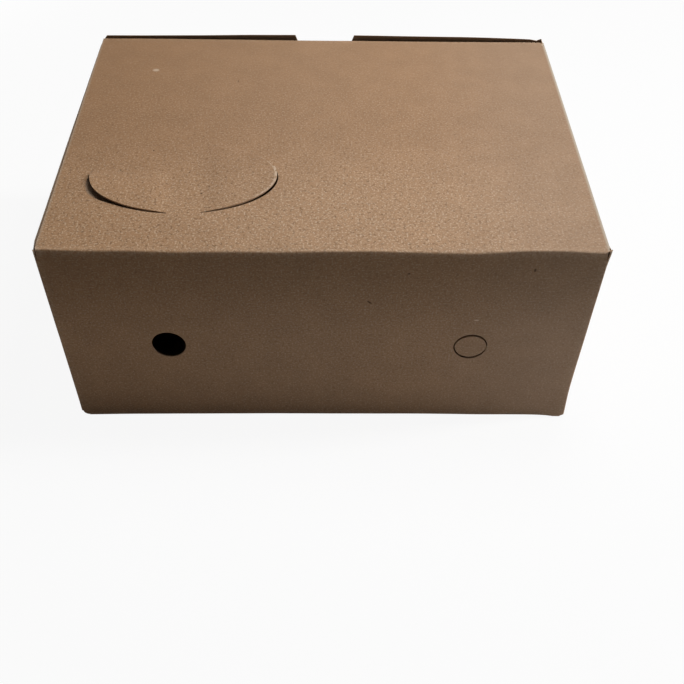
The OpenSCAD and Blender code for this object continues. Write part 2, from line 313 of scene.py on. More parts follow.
class BoxSizes(PropertyGroup):
    """Sizes of the board and of the folded box."""

    board: sized("Board", "Thickness of the kraft board", 0.5)
    fold_inner: sized("Fold radius", "Inside radius of a fold", 0.2)
    width: sized("Width", "Outside width of the carton", 180)
    depth: sized("Depth", "Outside depth at the base", 131.5)
    height: sized("Height", "Height to the top of the closed lid", 81)
    bow: sized("Back bow", "Outward bow of the back wall's top edge", 1.1)
    lid_inset: sized("Lid inset", "Step from the lid's side edge to the wall", 0.1)
    lid_inset_left: sized("Left lid inset", "The same step at the left", 0.45)
    lid_back_gap: sized("Lid back gap", "Step from the lid's fold to the back face", 1.2)
    lid_gap: sized("Lid gap", "Clearance between lid and dust flaps", 0.2)
    tuck: sized("Tuck flap", "Length of the tuck flap", 20)
    tuck_lean: FloatProperty(
        name="Tuck lean", description="Lean of the tuck flap into the box",
        default=math.radians(4), subtype="ANGLE")
    oval_width: sized("Oval width", "Width of the oval tab", 64)
    oval_depth: sized("Oval depth", "Depth of the oval tab", 38.6)
    oval_cut: sized("Oval cut", "Width of the cut round the oval tab", 0.33)
    curl_left: sized("Left curl", "Rise of the tab's left end", 1.05)
    curl_right: sized("Right curl", "Rise of the tab's right end", 1.0)
    vent_width: sized("Vent width", "Width of the vents", 11.7)
    vent_height: sized("Vent height", "Height of the vents", 12.1)
    vent_cut: sized("Vent cut", "Width of the cut round the vent's disc", 0.6)
    notch_mouth: sized("Notch mouth", "Width of the thumb notch at the top", 24)
    notch_floor: sized("Notch floor", "Width of the thumb notch at its floor", 17.5)
    notch_depth: sized("Notch depth", "Depth of the thumb notch", 10)


class BoxColours(PropertyGroup):
    """Colours of the kraft board, with tints of painted light and shade and a painted highlight."""

    kraft: coloured("Kraft", "Board face", (0.357, 0.215, 0.122))
    dark_speck: coloured("Dark specks", "Dark fibres and bark", (0.16, 0.092, 0.05))
    bark: coloured("Bark", "The few larger dark flecks", (0.06, 0.033, 0.016))
    pale_speck: coloured("Pale specks", "Pale fibres", (0.62, 0.47, 0.34))
    rubbed: coloured("Rubbed", "Board face rubbed pale beside the lid's crease", (0.5, 0.308, 0.178))
    # Painted light: a cooler, greyer tint towards the right edge stands in for light and sheen from the
    # right
    painted_cool_light: coloured(
        "Painted cool light", "Painted cooler light and sheen towards the board's right edge", (0.96, 1.03, 1.14), soft_max=2.0)
    # Painted shade: a warmer tint towards the left edge, which gets less of the light from the right
    painted_warm_shade: coloured("Painted warm shade", "Tint of the board towards its left edge", (1.0, 0.955, 0.89))
    # Painted shade: darkens the front wall towards the lid's crease, where less light from the floor reaches
    painted_wall_shade: coloured("Wall shade", "Tint of the front wall below the lid's crease", (0.68, 0.65, 0.59))
    # Painted highlight along the lid's right edge, also laid fainter along its left edge
    painted_edge_highlight: coloured("Edge highlight", "Painted highlight along the lid's right edge, fainter pale band along its left", (0.52, 0.45, 0.36))
    cut_edge: coloured("Cut edge", "Fresh fibres of a cut edge", (0.46, 0.33, 0.225))
    inside: coloured("Inside", "Inner face of the board", (0.225, 0.139, 0.082))


class StageSettings(PropertyGroup):
    """Floor, lamps and background."""

    floor: coloured("Floor", "Colour of the floor", (0.9, 0.9, 0.9))
    window_power: powered("Window", "Power of the tall light at the right", 9.4)
    top_power: powered("Top light", "Power of the small soft light above", 0.64)
    front_power: powered("Front fill", "Power of the low light at the front right", 0.041)
    back_power: powered("Back fill", "Power of the low light at the back left", 0.44)
    ambient: FloatProperty(
        name="Ambient", description="Strength of the light from all round", default=0.015)


class Flat:
    """Where a panel lies: folded in space, and flat in the blank."""

    def __init__(self, place, lay):
        self.place = place
        self.lay = lay

    def at(self, x, y, turn=0.0):
        """The same panel measured from another point and turned in its own plane."""
        move = Matrix.Translation((x, y, 0.0)) @ Matrix.Rotation(turn, 4, "Z")
        return Flat(self.place @ move, self.lay @ move)

    def below(self, depth):
        """The layer that lies a depth behind the panel's outer face."""
        return Flat(self.place @ Matrix.Translation((0.0, 0.0, -depth)), self.lay)

    def mirrored(self):
        """The panel's mirror image, left for right."""
        flip = Matrix.Diagonal((-1.0, 1.0, 1.0, 1.0))
        return Flat(self.place @ flip, self.lay @ flip)

    def past_fold(self, angle, radius):
        """The board after it has turned inwards along X."""
        pivot = Matrix.Translation((0.0, 0.0, -radius))
        turn = Matrix.Rotation(-angle, 4, "X")
        grow = Matrix.Translation((0.0, radius * angle, 0.0))
        return Flat(self.place @ pivot @ turn @ pivot.inverted(), self.lay @ grow)


class Board:
    """The outer face of a folded sheet, gathered panel by panel."""

    def __init__(self):
        self.points = []
        self.normals = []
        self.flats = []
        self.wear_and_highlight = []
        self.faces = []

    def add(self, flat, local, faces, wear_and_highlight):
        """Adds points in a panel's own measure, and the faces between them."""
        first = len(self.points)
        outward = (flat.place.to_3x3() @ Vector((0.0, 0.0, 1.0))).normalized()
        flipped = flat.place.determinant() < 0
        for (x, y, z), worn in zip(local, wear_and_highlight):
            self.points.append(flat.place @ Vector((x, y, z)))
            self.normals.append(outward)
            self.flats.append((flat.lay @ Vector((x, y, 0.0))).xy)
            self.wear_and_highlight.append(worn)
        for face in faces:
            corners = [first + corner for corner in face]
            self.faces.append(corners[::-1] if flipped else corners)

    def panel(self, flat, outline, holes=(), folds=(), lift=None, step=PLAIN_STEP, extra=(), rub_and_highlight=None):
        """Adds a flat panel cut to an outline, with holes, folded edges and extra pale marks; the lid's
        extra marks are the painted highlight on the oval tab's rim.
        """
        points, faces = cut_panel(outline, holes, step, extra)
        heights = [lift(x, y) if lift else 0.0 for x, y in points]
        local = [(x, y, z) for (x, y), z in zip(points, heights)]
        wear_and_highlight = fold_wear(points, folds)
        # Extra pale marks, such as the painted highlight on the oval tab's rim, are added to the fold scuffs
        if rub_and_highlight:
            wear_and_highlight = wear_and_highlight + np.array([rub_and_highlight(x, y) for x, y in points])
        self.add(flat, local, faces, wear_and_highlight)

    def fold(self, flat, places, angle, radius, frayed=None):
        """Adds a fold along X and returns the flat that follows it; frayed gives extra scuffing at a place.
        """
        count = len(places)
        worn = [1.0 + (frayed(x) if frayed else 0.0) for x in places]
        for row in range(FOLD_STEPS + 1):
            turned = flat.past_fold(angle * row / FOLD_STEPS, radius)
            faces = []
            if row:
                faces = [(i - count, i + 1 - count, i + 1, i) for i in range(count - 1)]
            self.add(turned, [(x, 0.0, 0.0) for x in places], faces, worn)
        return flat.past_fold(angle, radius)

    def welded(self):
        """Joins points that lie together, and returns the sheet as arrays."""
        index = {}
        target = []
        keep = []
        for i, point in enumerate(self.points):
            key = tuple(round(value / WELD) for value in point)
            if key not in index:
                index[key] = len(keep)
                keep.append(i)
            target.append(index[key])
        faces = []
        for face in self.faces:
            corners = [target[corner] for corner in face]
            if len(set(corners)) == len(corners):
                faces.append(corners)
        pick = lambda values: np.array([values[i] for i in keep])
        normals = np.zeros((len(keep), 3))
        for i, normal in enumerate(self.normals):
            normals[target[i]] += normal
        normals /= np.linalg.norm(normals, axis=1)[:, None]
        return pick(self.points), normals, pick(self.flats), pick(self.wear_and_highlight), faces


def stations(*breaks, step=PLAIN_STEP):
    """Places from the first break to the last, with every break among them."""
    places = [breaks[0]]
    for low, high in zip(breaks, breaks[1:]):
        count = max(1, round(abs(high - low) / step))
        places += [low + (high - low) * i / count for i in range(1, count + 1)]
    return places


def line(start, end, step):
    """Points from start up to, but without, end."""
    count = max(1, round(math.dist(start, end) / step))
    return [tuple(a + (b - a) * i / count for a, b in zip(start, end)) for i in range(count)]


def path(corners, step):
    """Points along straight edges from corner to corner, without the last corner."""
    points = []
    for start, end in zip(corners, corners[1:]):
        points += line(start, end, step)
    return points


def outline_of(corners, step):
    """Points round a closed outline with straight edges between its corners."""
    return path(corners + corners[:1], step)


def arc(centre, radii, start, end, count):
    """Points along an arc of an ellipse, both ends included."""
    angles = [start + (end - start) * i / count for i in range(count + 1)]
    return [(centre[0] + radii[0] * math.cos(a), centre[1] + radii[1] * math.sin(a)) for a in angles]


def slot(centre, radii, start, end, count, wide, beyond=None):
    """A narrow curved cut along an ellipse: its width inside it, and how far it goes beyond, at an angle."""
    outer = []
    inner = []
    for step, (x, y) in enumerate(arc(centre, radii, start, end, count)):
        angle = start + (end - start) * step / count
        out = beyond(angle) if beyond else 0.0
        outer.append((x + out * math.cos(angle), y + out * math.sin(angle)))
        inner.append((x - wide(angle) * math.cos(angle), y - wide(angle) * math.sin(angle)))
    return outer + inner[::-1]


def edge_distance(points, segments):
    """Distance from each point to the nearest of some straight edges."""
    if not len(segments) or not len(points):
        return np.full(len(points), 1.0)
    points = np.asarray(points, float)[:, None, :]
    start = np.asarray([s[0] for s in segments], float)[None]
    along = np.asarray([s[1] for s in segments], float)[None] - start
    share = ((points - start) * along).sum(2) / np.maximum((along * along).sum(2), 1e-18)
    nearest = start + np.clip(share, 0.0, 1.0)[..., None] * along
    return np.linalg.norm(points - nearest, axis=2).min(1)


def inside(points, loop):
    """Which points lie inside a closed loop."""
    loop = np.asarray(loop, float)
    after = np.roll(loop, -1, axis=0)
    x, y = points[:, 0][:, None], points[:, 1][:, None]
    rising = (loop[:, 1] > y) != (after[:, 1] > y)
    slope = (after[:, 0] - loop[:, 0]) / np.where(after[:, 1] == loop[:, 1], 1.0, after[:, 1] - loop[:, 1])
    return ((rising & (x < loop[:, 0] + (y - loop[:, 1]) * slope)).sum(1) % 2).astype(bool)


def spread(low, high, step):
    """Places across a panel, closer together beside both edges."""
    rows = [low + row for row in EDGE_ROWS] + [high - row for row in EDGE_ROWS]
    middle_low, middle_high = low + step, high - step
    return np.array(sorted(rows + stations(middle_low, middle_high, step=step)))


def fold_wear(points, folds):
    """How strongly each point of a panel is scuffed by the folds beside it."""
    distance = edge_distance(points, folds)
    return np.exp(-(distance / WEAR_REACH) ** 2)


def border_of(loops):
    """Points of some closed loops, the edges between them, and the same edges as pairs of points."""
    points = []
    edges = []
    for loop in loops:
        first = len(points)
        count = len(loop)
        points += loop
        edges += [(first + i, first + (i + 1) % count) for i in range(count)]
    return points, edges, [(points[a], points[b]) for a, b in edges]


def grid_of(outline, holes, step, extra, segments):
    """Points inside an outline and outside its holes, clear of every cut."""
    low, high = np.min(outline, axis=0), np.max(outline, axis=0)
    grid = np.meshgrid(spread(low[0], high[0], step), spread(low[1], high[1], step))
    grid = np.column_stack([axis.ravel() for axis in grid])
    if len(extra):
        extra = np.asarray(extra, float)
        apart = np.linalg.norm(grid[:, None] - extra[None], axis=2).min(1)
        grid = np.vstack([grid[apart > CLEAR_OF_CUT], extra])
    held = inside(grid, outline)
    for hole in holes:
        held &= ~inside(grid, hole)
    grid = grid[held]
    return grid[edge_distance(grid, segments) > CLEAR_OF_CUT]


def cut_panel(outline, holes, step, extra=()):
    """Points and triangles of a panel cut to an outline with holes."""
    border, edges, segments = border_of([outline, *holes])
    grid = grid_of(outline, holes, step, extra, segments)
    points = [Vector(point) for point in border] + [Vector(point) for point in grid]
    meshed = delaunay_2d_cdt(points, edges, [], 1, 1e-9)
    points = np.array([point[:] for point in meshed[0]])
    faces = meshed[2]
    middles = np.array([points[list(face)].mean(0) for face in faces])
    in_hole = np.zeros(len(faces), bool)
    for hole in holes:
        in_hole |= inside(middles, hole)
    faces = [face for face, gone in zip(faces, in_hole) if not gone]
    return [tuple(point) for point in points], faces


def unevenness(flat_point):
    """Height of the board's gentle waves at a place in the blank."""
    place = Vector((flat_point[0], flat_point[1], 0.0))
    wave = noise.noise(place / WAVE_LENGTH)
    ripple = noise.noise(place / RIPPLE_LENGTH + Vector((7.3, 2.1, 0.0)))
    return WAVE_HEIGHT * wave + RIPPLE_HEIGHT * ripple


def measures(sizes):
    """Lengths that follow from the sizes."""
    m = SimpleNamespace(sizes=sizes, board=sizes.board, height=sizes.height)
    m.fold = sizes.fold_inner + sizes.board
    m.half = sizes.width / 2
    m.flat_half = m.half - m.fold
    m.front_y = -(sizes.depth + sizes.bow) / 2
    m.back_y = m.front_y + sizes.depth
    m.foot = sizes.board
    m.corner_top = sizes.height - m.fold
    under_lid = m.corner_top - sizes.board
    m.dust_fold = under_lid - sizes.lid_gap - m.fold
    m.back_corner_top = under_lid - sizes.lid_gap - sizes.board
    m.wall = sizes.depth - 2 * m.fold
    m.right_wall = sizes.depth - m.fold - SEAM_GAP
    m.back = 2 * m.flat_half - sizes.board - GLUE_GAP
    m.relief = RELIEF
    m.left_round = LEFT_ROUND
    m.right_cut = RIGHT_CUT
    m.crease_flat = CREASE_STRIP
    m.wall_seam = sizes.height - 2 * m.fold - m.crease_flat
    m.lid_half = m.half - sizes.lid_inset
    m.lid_left = sizes.lid_inset_left - m.half
    m.lid_back = m.back_y - sizes.lid_back_gap - m.fold
    m.lid_seam = m.front_y + m.fold + m.crease_flat
    m.lid = m.lid_back - m.lid_seam
    m.dust_front = DUST_START
    m.dust_back = m.wall - sizes.lid_back_gap - DUST_END
    m.dust_reach = DUST_REACH - m.fold
    m.flap_half = m.flat_half - m.relief
    m.lock_middle = sizes.depth / 2 - m.fold
    return m


def front_flat(m):
    """The front wall, measured from the middle of its foot, with Y up."""
    place = Matrix.Translation((0.0, m.front_y, m.fold)) @ Matrix.Rotation(SQUARE, 4, "X")
    return Flat(place, Matrix.Identity(4))


def crease_flat(m):
    """The top of the front wall, where the lid's crease begins."""
    return front_flat(m).at(0.0, m.wall_seam)


def lid_flat(m):
    """The lid, measured from where its crease ends, with Y to the back."""
    return crease_flat(m).at(0.0, m.crease_flat).past_fold(SQUARE, m.fold).at(0.0, m.crease_flat)


def vent_cut_width(m, angle):
    """Width of the cut round the vent's disc: wide at top and bottom, faint at the right."""
    round_share, upright_share, right_share = VENT_CUT_SHARES
    return m.sizes.vent_cut * (
        round_share + upright_share * abs(math.sin(angle)) - right_share * math.cos(angle))


def front_vents(m):
    """The open vent at the left and the cut round the disc of the right one."""
    radii = (m.sizes.vent_width / 2, m.sizes.vent_height / 2)
    left, right = [(x, up - m.fold) for x, up in (LEFT_VENT, RIGHT_VENT)]
    nick_start, nick_end = NICK
    wide = lambda angle: vent_cut_width(m, angle)
    return [arc(left, radii, 0.0, 2 * math.pi, 72)[:-1],
            slot(right, radii, nick_end, 2 * math.pi + nick_start, 72, wide)]


def add_front_wall(board, m):
    """Front wall with an open vent at the left and a cut vent at the right."""
    low_left, low_right = m.left_round, m.right_cut
    foot_left, foot_right = -m.flat_half + m.left_round, m.flat_half - RIGHT_TRIM
    corners = [(foot_left, 0.0), (foot_right, 0.0), (m.flat_half, low_right), (m.flat_half, m.wall_seam),
               (-m.flat_half, m.wall_seam), (-m.flat_half, low_left)]
    outline = path(corners, FINE_STEP)
    outline += arc((foot_left, low_left), (m.left_round, m.left_round), math.pi, 3 * SQUARE, 6)[:-1]
    folds = [((-m.flat_half, 0.0), (m.flat_half, 0.0)), ((m.flat_half, 0.0), (m.flat_half, m.wall_seam)),
             ((-m.flat_half, 0.0), (-m.flat_half, m.wall_seam))]
    flat = front_flat(m)
    board.panel(flat, outline, front_vents(m), folds, step=FINE_STEP)
    foot = flat.at(0.0, 0.0, 2 * SQUARE)
    places = stations(-foot_right, -foot_left, step=FINE_STEP)
    add_large_flap(board, m, board.fold(foot, places, SQUARE, m.fold), (-foot_right, -foot_left))


def add_large_flap(board, m, flat, ends):
    """Large bottom flap with its lock line, scored diagonal and locking tongue."""
    step_up, half, gap, slant = 16 * MM, 10 * MM, 0.5 * MM, 20 * MM
    low, high = ends
    long_arm = m.lock_middle + step_up - gap / 2
    short_arm = m.lock_middle - step_up - gap / 2
    outline = line((low, 0.0), (high, 0.0), FINE_STEP)
    outline += path([(high, 0.0), (high, long_arm), (half + gap / 2, long_arm), (-half + gap / 2, short_arm),
                     (slant - m.flap_half, short_arm), (low, 0.0)], PLAIN_STEP)
    score = [(high - s, s) for s in np.arange(2 * MM, long_arm - 2 * MM, 2 * MM)]
    beside = 0.5 * MM
    score += [(x + beside, y + beside) for x, y in score] + [(x - beside, y - beside) for x, y in score]
    score_depth = 0.15 * MM
    dent = lambda x, y: -score_depth * max(0.0, 1.0 - abs(x + y - high) / (2 * beside))
    board.panel(flat, outline, folds=[((low, 0.0), (high, 0.0))], lift=dent, extra=score)
    # The tongue goes inside the box, over the other large flap
    left, right = -40 * MM, -14 * MM
    root, end, corner = short_arm - 8 * MM, short_arm + 12 * MM, 5 * MM
    tongue = line((left, root), (right, root), PLAIN_STEP)
    tongue += [(right, root)] + arc((right - corner, end - corner), (corner, corner), 0.0, SQUARE, 6)
    tongue += arc((left + corner, end - corner), (corner, corner), SQUARE, 2 * SQUARE, 6)
    board.panel(flat.below(m.board), tongue)


def add_side_wall(board, m, flat, low, length, tip=0.0):
    """Side wall with its dust flap and bottom flap; X is up and Y runs to the back."""
    flap_front, flap_back = SIDE_FLAP_START, m.wall - m.relief
    front = stations(low, m.wall_seam, m.dust_fold, step=FINE_STEP)
    outline = [(x, 0.0) for x in front[:-1]]
    outline += path([(m.dust_fold, y) for y in (0.0, m.dust_front, m.dust_back, length)], PLAIN_STEP)
    if tip:
        outline.append((m.dust_fold + tip, length))
    back_corners = [(m.dust_fold, length), (m.foot, length), (m.foot, flap_back), (m.foot, flap_front)]
    outline += path(back_corners, PLAIN_STEP)
    outline.append((m.foot, flap_front))
    folds = [((0.0, 0.0), (m.dust_fold, 0.0)), ((m.dust_fold, m.dust_front), (m.dust_fold, m.dust_back)),
             ((m.foot, flap_front), (m.foot, flap_back))]
    board.panel(flat, outline, folds=folds)
    top = flat.at(m.dust_fold, 0.0, -SQUARE)
    places = stations(-m.dust_back, -m.dust_front)
    add_dust_flap(board, m, board.fold(top, places, SQUARE, m.fold))
    foot = flat.at(m.foot, 0.0, SQUARE)
    places = stations(flap_front, flap_back)
    add_side_flap(board, m, board.fold(foot, places, SQUARE, m.fold), flap_front, flap_back)


def add_dust_flap(board, m, flat):
    """Dust flap under the lid, with a slanted front edge and a round back corner."""
    radius, taper, sag = 22 * MM, 5 * MM, 0.35 * MM
    back, front, reach = -m.dust_back, -m.dust_front, m.dust_reach
    outline = path([(back, 0.0), (front, 0.0), (front - taper, reach), (back + radius, reach)], PLAIN_STEP)
    outline += arc((back + radius, reach - radius), (radius, radius), SQUARE, 2 * SQUARE, 12)
    outline += line((back, reach - radius), (back, 0.0), PLAIN_STEP)[1:]
    droop = lambda x, y: -sag * (y / reach) ** 2
    board.panel(flat, outline, folds=[((back, 0.0), (front, 0.0))], lift=droop)


def add_side_flap(board, m, flat, front, back):
    """Side flap that lies inside the base."""
    taper, reach = 14 * MM, 42 * MM - m.fold
    corners = [(front, 0.0), (back, 0.0), (back - taper, reach), (front + taper, reach)]
    outline = outline_of(corners, PLAIN_STEP)
    board.panel(flat, outline, folds=[((front, 0.0), (back, 0.0))])


def back_edge(m):
    """Points of the back wall's top edge from right to left, in height and place along it."""
    sizes = m.sizes
    along = lambda x: x * MM + m.flat_half
    up = lambda z: z * MM - m.fold
    middle, top = NOTCH_MIDDLE + m.flat_half, up(BACK_EDGE_NOTCH)
    mouth, floor, depth = sizes.notch_mouth / 2, sizes.notch_floor / 2, sizes.notch_depth
    radius = NOTCH_CORNER
    flank = math.atan2(depth, mouth - floor)
    corner_x, corner_y = top - depth + radius, floor - radius * math.tan(flank / 2)
    edge = [(up(z), along(x)) for x, z in reversed(BACK_EDGE_RIGHT)]
    edge.append((top, middle + mouth))
    edge += arc((corner_x, middle + corner_y), (radius, radius), math.pi - flank, math.pi, 6)
    edge += arc((corner_x, middle - corner_y), (radius, radius), math.pi, math.pi + flank, 6)
    edge.append((top, middle - mouth))
    edge += [(up(z), along(x)) for x, z in reversed(BACK_EDGE_LEFT)]
    return path(edge, FINE_STEP) + [edge[-1]]


def add_back_wall(board, m, flat):
    """Bowed back wall with the thumb notch; X is up and Y runs to the right."""
    low = m.flat_half - m.flap_half
    high = min(m.flat_half + m.flap_half, m.back)
    tip = BACK_TIP * MM - m.fold
    right = stations(m.foot, m.dust_fold, tip, step=FINE_STEP)
    left = stations(m.foot, m.dust_fold, m.back_corner_top, step=PLAIN_STEP)
    outline = path([(0.0, y) for y in (0.0, low, high, m.back)], FINE_STEP)
    outline += [(0.0, m.back)] + [(x, m.back) for x in right]
    outline += back_edge(m)
    outline += [(x, 0.0) for x in reversed(left)]
    top = m.height + BACK_RISE - m.fold

    def bow(x, y):
        across = 2 * y / m.back - 1
        return m.sizes.bow * (1 - across ** 2) * (x / top) ** 2

    folds = [((0.0, low), (0.0, high)), ((0.0, 0.0), (top, 0.0)), ((0.0, m.back), (top, m.back))]
    board.panel(flat, outline, folds=folds, lift=bow, step=FINE_STEP)
    foot = flat.at(0.0, m.flat_half, SQUARE)
    ends = (low - m.flat_half, high - m.flat_half)
    add_large_flap(board, m, board.fold(foot, stations(*ends, step=FINE_STEP), SQUARE, m.fold), ends)
    add_glue_flap(board, m, board.fold(flat.at(0.0, m.back), right, SQUARE, m.fold), right)


def add_glue_flap(board, m, flat, places):
    """Flap glued inside the right wall; X is up."""
    reach, taper = 14 * MM, 4 * MM
    low, high = places[0], places[-1]
    outline = [(x, 0.0) for x in places[:-1]]
    corners = [(high, 0.0), (m.dust_fold - taper, reach), (low + taper, reach), (low, 0.0)]
    outline += path(corners, PLAIN_STEP)
    board.panel(flat, outline, folds=[((low, 0.0), (high, 0.0))])


def add_walls(board, m):
    """The walls in the order in which they are folded round."""
    add_front_wall(board, m)
    front = front_flat(m)
    left_edge = front.at(-m.flat_half, 0.0, SQUARE)
    places = stations(m.left_round, m.wall_seam, m.dust_fold, m.corner_top, step=FINE_STEP)
    frayed = lambda height: 2 * FRAYED_PALE * smooth(height, m.corner_top - 3 * FRAYED_REACH, m.corner_top)
    left = board.fold(left_edge, places, SQUARE, m.fold, frayed)
    add_side_wall(board, m, left, m.left_round, m.wall)
    places = stations(m.foot, m.dust_fold, m.back_corner_top)
    back = board.fold(left.at(0.0, m.wall), places, SQUARE, m.fold)
    add_back_wall(board, m, back)
    right_edge = front.mirrored().at(-m.flat_half, 0.0, SQUARE)
    places = stations(m.right_cut, m.wall_seam, m.dust_fold, m.corner_top, step=FINE_STEP)
    right = board.fold(right_edge, places, SQUARE, m.fold)
    add_side_wall(board, m, right, m.right_cut, m.right_wall, tip=SEAM_GAP)


def swell(angle, far, place, reach):
    """A rounded rise at a place, with its reach to both sides."""
    return far * math.exp(-((angle - place) / reach) ** 2)


class OvalTab:
    """The oval tab in the lid: its cuts, the curl of its ends and the painted highlight on its rim."""

    def __init__(self, m):
        self.sizes = m.sizes
        self.centre = (OVAL_CENTRE[0], OVAL_CENTRE[1] - m.lid_seam)
        self.radii = (m.sizes.oval_width / 2, m.sizes.oval_depth / 2)
        self.tab_radii = (self.radii[0] - m.sizes.oval_cut / 2, self.radii[1] - m.sizes.oval_cut / 2)

    def right_width(self, angle):
        """Width of the right cut, which closes towards the back."""
        return self.sizes.oval_cut * (1 - SHUT_BACK * smooth(math.sin(angle), *RIGHT_SHUTS))

    def left_open(self, angle):
        """How far the left cut is open: it closes behind the tip."""
        return 1 - SHUT_BACK * smooth(math.sin(angle), *LEFT_SHUTS)

    def left_width(self, angle):
        """Width of the left cut, which is wider at the tip."""
        return self.left_open(angle) * (self.sizes.oval_cut + swell(angle, *TIP_INWARDS))

    def left_beyond(self, angle):
        """How far the hole goes beyond the oval at the left tip."""
        return self.left_open(angle) * swell(angle, *TIP_OUTWARDS)

    def cuts(self):
        """The two curved cuts, right and left of the bridges."""
        front_left = 2 * math.pi - math.acos(BRIDGE_LEFT / self.radii[0])
        front_right = -math.acos(BRIDGE_RIGHT / self.radii[0])
        back_right = math.acos(BRIDGE_BACK / self.radii[0])
        back_left = math.pi - back_right
        return [slot(self.centre, self.radii, front_right, back_right, 72, self.right_width),
                slot(self.centre, self.radii, back_left, front_left, 96, self.left_width, self.left_beyond)]

    def reach(self, x, y):
        """Place from the tab's middle, at 0, to its edge, at 1."""
        return math.hypot((x - self.centre[0]) / self.tab_radii[0], (y - self.centre[1]) / self.tab_radii[1])

    def curl(self, x, y):
        """Rise of the tab over the lid: none between the bridges, most at its ends."""
        if self.reach(x, y) > 1.0:
            return 0.0
        across, deep = x - self.centre[0], y - self.centre[1]
        back = smooth(deep, *BRIDGE_TURN)
        low = BRIDGE_LEFT + (-BRIDGE_BACK - BRIDGE_LEFT) * back
        high = BRIDGE_RIGHT + (BRIDGE_BACK - BRIDGE_RIGHT) * back
        if low <= across <= high:
            return 0.0
        if across > high:
            share = (across - high) / (self.radii[0] - high)
            proud = TAB_PROUD * smooth(share, 0.0, RIGHT_EDGE_SHARE)
            return self.sizes.curl_right * share ** CURL_POWER + proud
        share = (low - across) / (self.radii[0] + low)
        front = smooth(deep, *LEFT_FLATTENS)
        return front * (self.sizes.curl_left * share + TAB_PROUD * smooth(share, 0.0, LEFT_EDGE_SHARE))

    def rim(self, x, y):
        """Painted highlight on the rim at the raised right end, added to the fold scuffs."""
        out = self.reach(x, y)
        if out > 1.0:
            return 0.0
        across = (x - self.centre[0]) / self.tab_radii[0]
        return RIM_HIGHLIGHT * smooth(across, *RIM_ACROSS_SHARES) * smooth(out, *RIM_OUT_SHARES)

    def rows(self):
        """Points round the tab, inside its edge."""
        points = []
        for inset in RIM_ROWS:
            radii = (self.tab_radii[0] - inset, self.tab_radii[1] - inset)
            points += arc(self.centre, radii, 0.0, 2 * math.pi, 96)[:-1]
        return points


def add_lid(board, m):
    """Lid panel with the oval tab, the back fold and the tuck flap."""
    flat = lid_flat(m)
    tab = OvalTab(m)
    corners = [(m.lid_left, 0.0), (m.lid_half, 0.0), (m.lid_half, m.lid), (m.lid_left, m.lid)]
    folds = [((m.lid_left, m.lid), (m.lid_half, m.lid))]
    outline = outline_of(corners, FINE_STEP)
    # The tab's rim gets a painted highlight at its raised right end
    board.panel(flat, outline, tab.cuts(), folds, tab.curl, FINE_STEP, tab.rows(), tab.rim)
    places = stations(m.lid_left, m.lid_half, step=FINE_STEP)
    down = board.fold(flat.at(0.0, m.lid), places, SQUARE, m.fold)
    add_tuck_flap(board, m, board.fold(down, places, m.sizes.tuck_lean, m.fold))


def add_tuck_flap(board, m, flat):
    """Tuck flap with two round corners, which goes in behind the back wall."""
    trim, radius, length = 1.6 * MM, 12 * MM, m.sizes.tuck
    half = m.lid_half - trim
    outline = line((-half, 0.0), (half, 0.0), FINE_STEP)
    outline += [(half, 0.0)] + arc((half - radius, length - radius), (radius, radius), 0.0, SQUARE, 10)
    outline += arc((radius - half, length - radius), (radius, radius), SQUARE, 2 * SQUARE, 10)
    board.panel(flat, outline, folds=[((-half, 0.0), (half, 0.0))])


def add_crease(board, m):
    """Strip of board that bends where the lid turns on the front wall."""
    rows = stations(0.0, m.crease_flat, step=CREASE_STEP)

    def row_across(left, right, pinch):
        low, high = left + PINCH_LEFT * pinch, right - PINCH_RIGHT * pinch
        return [(low + high) / 2 + x / m.flat_half * (high - low) / 2
                for x in stations(-m.flat_half, m.flat_half, step=FINE_STEP)]

    def row_wear(places, near):
        end = places[0]
        return [near + FRAYED_PALE * near * smooth(x, end + FRAYED_REACH, end) for x in places]

    count = len(row_across(-m.flat_half, m.flat_half, 0.0))
    quads = [(i - count, i + 1 - count, i + 1, i) for i in range(count - 1)]
    wall = crease_flat(m)
    for row in rows:
        near = math.exp(-((m.crease_flat - row) / WEAR_REACH) ** 2)
        places = row_across(-m.flat_half, m.flat_half, row / m.crease_flat)
        board.add(wall, [(x, row, 0.0) for x in places], quads if row else [], row_wear(places, near))
    bend = wall.at(0.0, m.crease_flat)
    for step in range(1, FOLD_STEPS + 1):
        turned = bend.past_fold(SQUARE * step / FOLD_STEPS, m.fold)
        places = row_across(-m.flat_half, m.flat_half, 1.0)
        board.add(turned, [(x, 0.0, 0.0) for x in places], quads, row_wear(places, 1.0))
    lid = bend.past_fold(SQUARE, m.fold)
    for row in rows[1:]:
        near = math.exp(-(row / WEAR_REACH) ** 2)
        places = row_across(m.lid_left, m.lid_half, 1 - row / m.crease_flat)
        board.add(lid, [(x, row, 0.0) for x in places], quads, row_wear(places, near))


def smooth(value, low, high):
    """Goes smoothly from 0 at low to 1 at high."""
    share = np.clip((value - low) / (high - low), 0.0, 1.0)
    return share * share * (3 - 2 * share)


def widened(x):
    """Extra width of the box towards its right edge."""
    return RIGHT_WIDER * smooth(x, *RIGHT_WIDER_SPAN)


def back_top(points, m, low, high):
    """Share of the back wall's top edge, between two heights measured from the lid."""
    y, z = points[:, 1], points[:, 2]
    return smooth(z, m.height + low, m.height + high) * smooth(y, m.back_y - LIP_INNER, m.back_y - LIP_OUTER)


